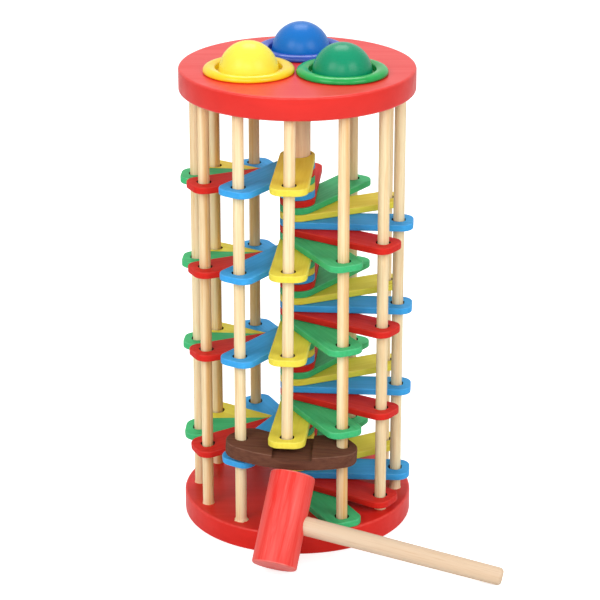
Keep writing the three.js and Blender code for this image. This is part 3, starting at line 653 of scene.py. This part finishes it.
def bridge_shape():
    """The board in its own frame, X outwards through the middle: two halves, and between them the floor of
    the groove and the underside, ruled between the two curved edges."""
    right_cell, right_wall, right_cheek = bridge_half(1)
    left_cell, left_wall, left_cheek = bridge_half(-1)
    rows = edge_rows(BRIDGE_EDGE, 0.0, BRIDGE_THICKNESS, [BRIDGE_FLOOR])
    low_rows = tuple(part[ARC_POINTS:] for part in rows)
    along = np.array([math.cos(GROOVE_TURN), math.sin(GROOVE_TURN)])
    edges = []
    for radius, sign in ((BRIDGE_OUTER, 1), (BRIDGE_INNER, -1)):
        reach = math.asin(GROOVE_HALF / radius)
        edge = arc(0, 0, radius, GROOVE_TURN - reach, GROOVE_TURN + reach, BRIDGE_ARC_POINTS)
        normals = sign * edge / radius
        normals[[0, -1]] = sign * along / math.cos(reach)
        edges.append(rim_wall(edge, normals, low_rows, False))
    floor = (np.stack([wall[0][0] for wall in edges]), np.zeros(2), False)
    outer_low, inner_low = (wall[0][-1] for wall in edges)
    across = np.linspace(0, 1, BRIDGE_SEAM_POINTS)[:, None, None]
    under = (outer_low + across * (inner_low - outer_low), np.zeros(BRIDGE_SEAM_POINTS), False)
    points, faces, wear_and_hole_shade = put_together(right_cell, right_wall, left_cell, left_wall, *edges, floor, under)
    for cheek in (right_cheek, left_cheek):
        faces.append(list(range(len(points), len(points) + len(cheek))))
        points = np.concatenate([points, cheek])
        wear_and_hole_shade = np.concatenate([wear_and_hole_shade, np.zeros(len(cheek))])
    return points, faces, wear_and_hole_shade


# Spirit stain on sawn pine: dull brown with fibres that stand up, paler where corners have rubbed
brown_stain = painted_wood(
    "brown_stain_on_sawn_pine", STAIN_BROWN, STAIN_DEEP, STAIN_WORN,
    streak_mm=1.8, fibre_mm=0.7, streaks=0.8, rubbed=0.45, roughness=0.7, specular=0.06, relief=0.12)

bridge_points, bridge_faces, bridge_wear_and_hole_shade = bridge_shape()
bridge_grain = bridge_points[:, [1, 0, 2]]
bridge_turning = tipped(BRIDGE_SLOPE) @ about_z(ROD_PHASE - math.pi / 2)
bridge = make_piece(
    "bridge_board", bridge_points @ bridge_turning.T + [0, 0, BRIDGE_HEIGHT], bridge_faces, bridge_wear_and_hole_shade,
    bridge_grain, 0.0, brown_stain)
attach(bridge, "tower")
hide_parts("bridge")

# Top disc: a board like the base, bored right through three times for the rings.
# It is glued down on the pole and on all twelve rods.
TOP_THICKNESS = 16.0
TOP_HIGH = TOP_UNDERSIDE + TOP_THICKNESS
BALL_RADIUS = 20.0
RING_SLEEVE_WIDTH = 4.0
RING_SLEEVE = BALL_RADIUS + RING_SLEEVE_WIDTH
RING_HOLE = RING_SLEEVE + GLUE_GAP
RING_CIRCLE = 36.0
RING_HOLE_EDGE = 0.6
RING_COUNT = 3
RING_TURN = 2 * math.pi / RING_COUNT
RING_PHASE = ROD_PHASE - RING_TURN / 2
SECTOR_SIDE_POINTS = 14


def top_disc_shape():
    """Three equal sectors, each a cell round one hole. A sector's border is two radii and an arc of the rim,
    and the rim's own profile goes round the whole disc."""
    half = RING_TURN / 2
    flat_radius = DISC_RADIUS - DISC_EDGE
    rim_arc = arc(0, 0, flat_radius, -half, half, DISC_SEGMENTS // RING_COUNT + 1)
    border = np.concatenate([
        line((0, 0), rim_arc[0], SECTOR_SIDE_POINTS)[:-1],
        rim_arc,
        line(rim_arc[-1], (0, 0), SECTOR_SIDE_POINTS)[1:-1]])
    cell, wear_and_hole_shade, _ = holed_cell(
        border, np.array([RING_CIRCLE, 0]), RING_HOLE, RING_HOLE_EDGE, TOP_UNDERSIDE, TOP_HIGH)
    grids = []
    for i in range(RING_COUNT):
        turn = RING_PHASE - math.pi / 2 - i * RING_TURN
        grids.append((cell @ about_z(turn).T, wear_and_hole_shade, True))
    start = RING_PHASE - math.pi / 2 - half
    loop = arc(0, 0, DISC_RADIUS, start, start + 2 * math.pi, DISC_SEGMENTS + 1)[:-1]
    rows = edge_rows(DISC_EDGE, TOP_UNDERSIDE, TOP_HIGH)
    return put_together(*grids, rim_wall(loop, loop / DISC_RADIUS, rows, True))


top_points, top_faces, top_wear_and_hole_shade = top_disc_shape()
top_disc = make_piece("top_disc_lacquered", top_points, top_faces, top_wear_and_hole_shade, top_points, 0.0, red_lacquer)
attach(top_disc, "tower")
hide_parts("top_disc")

# Rings: soft plastic mouldings, each with a round flange on the disc, a throat that grips the ball
# and a sleeve that is pressed into the hole.
RING_FLANGE_WIDTH = 10.7
RING_FLANGE = BALL_RADIUS + RING_FLANGE_WIDTH
RING_FLANGE_HEIGHT = 4.4
RING_WALL = 2.0
RING_SLEEVE_SETBACK = 1.0
RING_SLEEVE_BOTTOM = RING_SLEEVE_SETBACK - TOP_THICKNESS
RING_SLEEVE_TOP = -5.4
RING_THROAT_PLAY = 0.06
RING_THROAT = BALL_RADIUS + RING_THROAT_PLAY
RING_THROAT_TOP = -1.2
RING_THROAT_BOTTOM = -3.0
RING_MOUTH_WIDTH = 2.6
RING_MOUTH = BALL_RADIUS + RING_MOUTH_WIDTH
# The rounding outside, from the flange's radius, and the wall inside, from the mouth's: radius and height
RING_ROUNDING = ((-1.0, 0.0), (-0.05, 0.8), (-0.25, 2.3), (-1.5, 3.7))
RING_INNER_WALL = ((0.6, 3.75), (-0.3, 2.4), (-0.6, 0.6), (-0.8, -0.4))
RING_SEGMENTS = 96
CURVE_POINTS = 8
RING_GRAIN_SHIFT = np.array([90.0, 0.0, 0.0])
FLOW_MM = 100 / 9
SKIN_MM = 0.625
RING_PLASTICS = {
    "yellow": ("fbd924", "efc51a"),
    "blue": ("3354bc", "2a48a6"),
    "green": ("1fac52", "189845"),
}


def smooth_line(corners, count):
    """Curve through the corners: between two of them a cubic whose slope at each is half the chord between
    the corner before and the corner after."""
    p = np.asarray(corners, float)
    padded = np.concatenate([p[:1], p, p[-1:]])
    t = np.linspace(0, 1, count, endpoint=False)[:, None]
    before, start, end, after = (padded[i:len(padded) - 3 + i, None] for i in range(4))
    curve = (start + (end - before) * t / 2 + (before - 2.5 * start + 2 * end - after / 2) * t ** 2
             + (1.5 * (start - end) + (after - before) / 2) * t ** 3)
    return np.concatenate([curve.reshape(-1, 2), p[-1:]])


def moulded_plastic(name, colour, shade):
    """Glossy moulded plastic: the colour drifts slightly over a centimetre, as flow marks do, and a very
    fine grain of about half a millimetre breaks the gloss."""
    material = bpy.data.materials.new(name)
    material.use_nodes = True
    tree = material.node_tree
    shader = tree.nodes["Principled BSDF"]
    place = add_node(tree, "ShaderNodeAttribute", {}, attribute_name="grain").outputs["Vector"]
    flow = add_node(tree, "ShaderNodeTexNoise", {
        "Vector": place, "Scale": 1 / FLOW_MM, "Detail": 2.0}).outputs[0]
    skin = add_node(tree, "ShaderNodeTexNoise", {
        "Vector": place, "Scale": 1 / SKIN_MM, "Detail": 2.0}).outputs[0]
    share = add_node(tree, "ShaderNodeMapRange", {
        "Value": flow, "From Min": 0.35, "From Max": 0.68, "To Min": 0.0, "To Max": 0.7}).outputs[0]
    tint = add_node(tree, "ShaderNodeMix", {
        0: share, 6: linear(colour), 7: linear(shade)}, data_type="RGBA").outputs[2]
    gloss = add_node(tree, "ShaderNodeMapRange", {
        "Value": skin, "From Min": 0.3, "From Max": 0.7, "To Min": 0.18, "To Max": 0.26}).outputs[0]
    bump = add_node(tree, "ShaderNodeBump", {
        "Height": skin, "Strength": 0.2, "Distance": 0.01 * MM}).outputs[0]
    tree.links.new(tint, shader.inputs["Base Color"])
    tree.links.new(gloss, shader.inputs["Roughness"])
    tree.links.new(bump, shader.inputs["Normal"])
    shader.inputs["IOR"].default_value = 1.5
    shader.inputs["Specular IOR Level"].default_value = 0.28
    return material


ring_crown = (RING_MOUTH + RING_FLANGE) / 2
ring_inside = RING_SLEEVE - RING_WALL
ring_curve = smooth_line(np.concatenate([
    np.array(RING_ROUNDING) + [RING_FLANGE, 0],
    [[ring_crown, RING_FLANGE_HEIGHT]],
    np.array(RING_INNER_WALL) + [RING_MOUTH, 0],
    [[RING_THROAT, RING_THROAT_TOP]]]), CURVE_POINTS)
ring_section = np.concatenate([
    [[ring_inside, RING_SLEEVE_BOTTOM], [RING_SLEEVE, RING_SLEEVE_BOTTOM], [RING_SLEEVE, 0]],
    ring_curve,
    [[RING_THROAT, RING_THROAT_BOTTOM], [ring_inside, RING_SLEEVE_TOP], [ring_inside, RING_SLEEVE_BOTTOM]]])
ring_points, ring_faces, ring_wear = put_together(
    (turned(ring_section, RING_SEGMENTS), np.zeros(len(ring_section)), True))
for i, (shade, tints) in enumerate(RING_PLASTICS.items()):
    ring_at = on_circle(RING_CIRCLE, RING_PHASE - i * RING_TURN)
    # Soft vinyl: bright, even and shiny
    ring_plastic = moulded_plastic(f"moulded_{shade}_vinyl", *tints)
    ring = make_piece(
        f"soft_ring_{shade}", ring_points + [*ring_at, TOP_HIGH], ring_faces, ring_wear,
        ring_points + i * RING_GRAIN_SHIFT, 0.0, ring_plastic)
    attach(ring, "tower")
    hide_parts(f"ring_{shade}")

# Balls: three balls turned from wood and sprayed with satin paint.
# Each sits in the ring of its colour until it is knocked through.
BALL_RAISE = 0.8
BALL_HEIGHT = TOP_HIGH + BALL_RAISE
BALL_ROWS = 40
BALL_SEGMENTS = 80
BALL_GRAIN_SHIFT = np.array([70.0, 0.0, 0.0])
BALL_PAINTS = {
    "yellow": ("f7e74e", "f1d93e"),
    "blue": ("1570c4", "1264b2"),
    "green": ("10936a", "0d815c"),
}

latitude = np.linspace(np.pi / 2, -np.pi / 2, BALL_ROWS + 1)
ball_section = BALL_RADIUS * np.stack([np.cos(latitude), np.sin(latitude)], -1)
ball_points, ball_faces, ball_wear = put_together(
    (turned(ball_section, BALL_SEGMENTS), np.zeros(len(ball_section)), True))
for i, (shade, (paint, deep)) in enumerate(BALL_PAINTS.items()):
    ball_at = on_circle(RING_CIRCLE, RING_PHASE - i * RING_TURN)
    # Sprayed satin paint: deep even colour with faint streaks, a soft broad highlight and no worn edge
    ball_paint = painted_wood(
        f"sprayed_{shade}_paint_on_turned_ball", paint, deep, deep,
        streak_mm=6.0, fibre_mm=1.0, streaks=0.25, rubbed=0.0, roughness=0.28, specular=0.2, relief=0.01)
    ball = make_piece(
        f"wooden_ball_{shade}", ball_points + [*ball_at, BALL_HEIGHT], ball_faces, ball_wear,
        ball_points + i * BALL_GRAIN_SHIFT, 0.0, ball_paint)
    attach(ball, f"ball_{shade}")
    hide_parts(f"ball_{shade}")

# Mallet: a thick dowel painted red for the head, bored for a tapered maple handle that is glued in.
# It leans in front of the gate, its lower rim and the handle's tip on the floor.
MALLET_CENTRE = np.array([-9.4, -97.1, 34.375])
MALLET_TURN = math.radians(-2.6)
MALLET_LEAN = math.radians(36)
MALLET_DIP = math.radians(10.194)
HANDLE_SKEW = math.radians(3.4)
HEAD_RADIUS = 15.4
HEAD_HALF = 32.0
HEAD_EDGE = 1.2
HEAD_SEGMENTS = 96
HEAD_END_WEAR = 0.55
HANDLE_ROOT = -4.5
HANDLE_REACH = 151.85
HANDLE_ROOT_RADIUS = 6.55
HANDLE_TIP_RADIUS = 6.08
HANDLE_TIP_EDGE = 3.0
HANDLE_TIP_POINTS = 10
HANDLE_SIDE_POINTS = 12
HANDLE_SEGMENTS = 56
HANDLE_GRAIN_SHIFT = np.array([500.0, 0.0, 0.0])
HEAD_RED = "ea2c22"
HEAD_STREAK_HIGHLIGHT = "f8766e"
HEAD_WORN = "ee948a"
MAPLE_PALE = "e0c8ad"
MAPLE_TAN = "d6ad82"
MAPLE_FLECK = "bb8d62"


def about_x(angle):
    """Matrix of a turn about X."""
    return np.array([
        [1, 0, 0], [0, math.cos(angle), -math.sin(angle)], [0, math.sin(angle), math.cos(angle)]])


def about_y(angle):
    """Matrix of a turn about Y."""
    return np.array([
        [math.cos(angle), 0, math.sin(angle)], [0, 1, 0], [-math.sin(angle), 0, math.cos(angle)]])


def laid_down(dip):
    """Matrix that lays the mallet down: the handle dips about Y, the head leans back about X, and the whole
    turns about Z."""
    return about_z(MALLET_TURN) @ about_x(-MALLET_LEAN) @ about_y(dip)


head_inset, head_height, head_edge_wear = edge_rows(HEAD_EDGE, -HEAD_HALF, HEAD_HALF)
head_inner = HEAD_RADIUS - HEAD_EDGE - EDGE_SUPPORT
head_section = np.concatenate([
    [[0, HEAD_HALF], [head_inner, HEAD_HALF]],
    np.stack([HEAD_RADIUS - head_inset, head_height], -1),
    [[head_inner, -HEAD_HALF], [0, -HEAD_HALF]]])
head_wear = np.concatenate([[HEAD_END_WEAR] * 2, head_edge_wear, [HEAD_END_WEAR] * 2])
head_points, head_faces, head_wear = put_together((turned(head_section, HEAD_SEGMENTS), head_wear, True))
# Thin red paint on turned wood: pale streaks along it, part grain showing through and part painted
# highlight, and the end grain is paler
head_paint = painted_wood(
    "brushed_red_paint_on_turned_wood", HEAD_RED, HEAD_STREAK_HIGHLIGHT, HEAD_WORN,
    streak_mm=5.0, fibre_mm=0.8, streaks=0.6, rubbed=0.8, roughness=0.4, specular=0.22, relief=0.02)
head = make_piece(
    "mallet_head_painted", head_points @ laid_down(MALLET_DIP).T + MALLET_CENTRE, head_faces, head_wear,
    head_points[:, [2, 0, 1]], 0.0, head_paint)
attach(head, "mallet")
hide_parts("mallet_head")

tip_turn = np.linspace(0, np.pi / 2, HANDLE_TIP_POINTS)
handle_side = line(
    (HANDLE_ROOT_RADIUS, HEAD_RADIUS), (HANDLE_TIP_RADIUS, HANDLE_REACH - HANDLE_TIP_EDGE),
    HANDLE_SIDE_POINTS)
handle_section = np.concatenate([
    [[0, HANDLE_ROOT], [HANDLE_ROOT_RADIUS, HANDLE_ROOT]],
    handle_side[:-1],
    np.stack([HANDLE_TIP_RADIUS - HANDLE_TIP_EDGE * (1 - np.cos(tip_turn)),
              HANDLE_REACH - HANDLE_TIP_EDGE * (1 - np.sin(tip_turn))], -1),
    [[0, HANDLE_REACH]]])
handle_grid = turned(handle_section, HANDLE_SEGMENTS)[..., [2, 0, 1]]
handle_points, handle_faces, handle_wear = put_together((handle_grid, np.zeros(len(handle_section)), True))
handle_turning = laid_down(MALLET_DIP + HANDLE_SKEW)
# Sanded maple: pale and pinkish, almost without pattern, with small tan flecks
maple = bare_wood(
    "sanded_maple_handle", MAPLE_PALE, MAPLE_TAN, MAPLE_FLECK,
    ring_mm=4.0, fibre_mm=0.8, contrast=0.35, roughness=0.55, relief=0.04)
handle = make_piece(
    "mallet_handle_sanded", handle_points @ handle_turning.T + MALLET_CENTRE, handle_faces, handle_wear,
    handle_points + HANDLE_GRAIN_SHIFT, 0.0, maple)
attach(handle, "mallet")
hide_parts("mallet_handle")

# Stage: a white floor that keeps a soft shadow, a white room, four soft square lamps in front, at both
# sides and above, and a camera placed where the photograph was taken from.
FLOOR_HALF = 6000.0
FLOOR_WHITE = 0.8
FLOOR_GLOW = 0.68
MIRROR_GLOW = 0.2
ROOM_LIGHT = 0.4
# The camera as fitted to the photograph: place, downward pitch and yaw in radians, lens and sensor
CAMERA_AT = (-0.7337, -1582.3745, 754.1472)
CAMERA_PITCH = 0.361
CAMERA_YAW = -0.0016
CAMERA_LENS = 146.05
SENSOR = 36.0

floor_mesh = bpy.data.meshes.new("white_floor")
floor_corners = np.array([[-1, -1, 0], [1, -1, 0], [1, 1, 0], [-1, 1, 0]]) * FLOOR_HALF * MM
floor_mesh.from_pydata(floor_corners.tolist(), [], [[0, 1, 2, 3]])
floor = bpy.data.objects.new("white_floor", floor_mesh)
bpy.context.scene.collection.objects.link(floor)

# White studio paper: matt, lifted to white where the camera sees it, and less so in reflections
paper = bpy.data.materials.new("white_studio_paper")
paper.use_nodes = True
paper_tree = paper.node_tree
paper_tree.nodes.remove(paper_tree.nodes["Principled BSDF"])
paper_path = add_node(paper_tree, "ShaderNodeLightPath", {})
paper_mirror = add_node(paper_tree, "ShaderNodeMath", {
    0: paper_path.outputs["Is Glossy Ray"], 1: paper_path.outputs["Is Transmission Ray"]},
    operation="MAXIMUM")
paper_mirrored = add_node(paper_tree, "ShaderNodeMath", {
    0: paper_mirror.outputs[0], 1: MIRROR_GLOW}, operation="MULTIPLY")
paper_glow = add_node(paper_tree, "ShaderNodeMath", {
    0: paper_path.outputs["Is Camera Ray"], 1: FLOOR_GLOW, 2: paper_mirrored.outputs[0]},
    operation="MULTIPLY_ADD")
paper_matt = add_node(paper_tree, "ShaderNodeBsdfDiffuse", {
    "Color": (FLOOR_WHITE, FLOOR_WHITE, FLOOR_WHITE, 1)})
paper_light = add_node(paper_tree, "ShaderNodeEmission", {"Strength": paper_glow.outputs[0]})
paper_sum = add_node(paper_tree, "ShaderNodeAddShader", {
    0: paper_matt.outputs[0], 1: paper_light.outputs[0]})
paper_tree.links.new(paper_sum.outputs[0], paper_tree.nodes["Material Output"].inputs["Surface"])
floor_mesh.materials.append(paper)

# White room: full white where the camera or a reflection sees it, and dimmer as a light on the toy
room = bpy.data.worlds.new("white_room")
room.use_nodes = True
room_tree = room.node_tree
room_path = add_node(room_tree, "ShaderNodeLightPath", {})
room_mirror = add_node(room_tree, "ShaderNodeMath", {
    0: room_path.outputs["Is Glossy Ray"], 1: room_path.outputs["Is Transmission Ray"]},
    operation="MAXIMUM")
room_seen = add_node(room_tree, "ShaderNodeMath", {
    0: room_path.outputs["Is Camera Ray"], 1: room_mirror.outputs[0]}, operation="MAXIMUM")
room_strength = add_node(room_tree, "ShaderNodeMapRange", {
    "Value": room_seen.outputs[0], "To Min": ROOM_LIGHT, "To Max": 1.0})
room_tree.nodes["Background"].inputs["Color"].default_value = (1, 1, 1, 1)
room_tree.links.new(room_strength.outputs[0], room_tree.nodes["Background"].inputs["Strength"])
bpy.context.scene.world = room

# Each lamp: place in millimetres, side in millimetres and power in watts; all face the tower's middle
LAMPS = {
    "front_softbox": ((-200, -1900, 1300), 1000, 12),
    "left_softbox": ((-1350, -1350, 1450), 1100, 18),
    "right_softbox": ((1350, -1350, 1350), 1100, 17),
    "top_softbox": ((0, 700, 1500), 700, 9),
}
LAMP_TARGET = np.array([0, 0, 150])
for lamp_name, (lamp_at, lamp_side, lamp_power) in LAMPS.items():
    lamp_data = bpy.data.lights.new(lamp_name, "AREA")
    lamp_data.size = lamp_side * MM
    lamp_data.energy = lamp_power
    lamp = bpy.data.objects.new(lamp_name, lamp_data)
    lamp.location = np.array(lamp_at) * MM
    aim = LAMP_TARGET - lamp_at
    pitch = math.atan2(aim[2], math.hypot(aim[0], aim[1]))
    lamp.rotation_euler = (math.pi / 2 + pitch, 0, math.atan2(-aim[0], aim[1]))
    bpy.context.scene.collection.objects.link(lamp)

camera_data = bpy.data.cameras.new("photo_camera")
camera_data.sensor_width = SENSOR
camera_data.lens = CAMERA_LENS
camera = bpy.data.objects.new("photo_camera", camera_data)
camera.location = np.array(CAMERA_AT) * MM
camera.rotation_euler = (math.pi / 2 - CAMERA_PITCH, 0, CAMERA_YAW)
bpy.context.scene.collection.objects.link(camera)
bpy.context.scene.camera = camera
bpy.context.scene.view_settings.view_transform = "Standard"
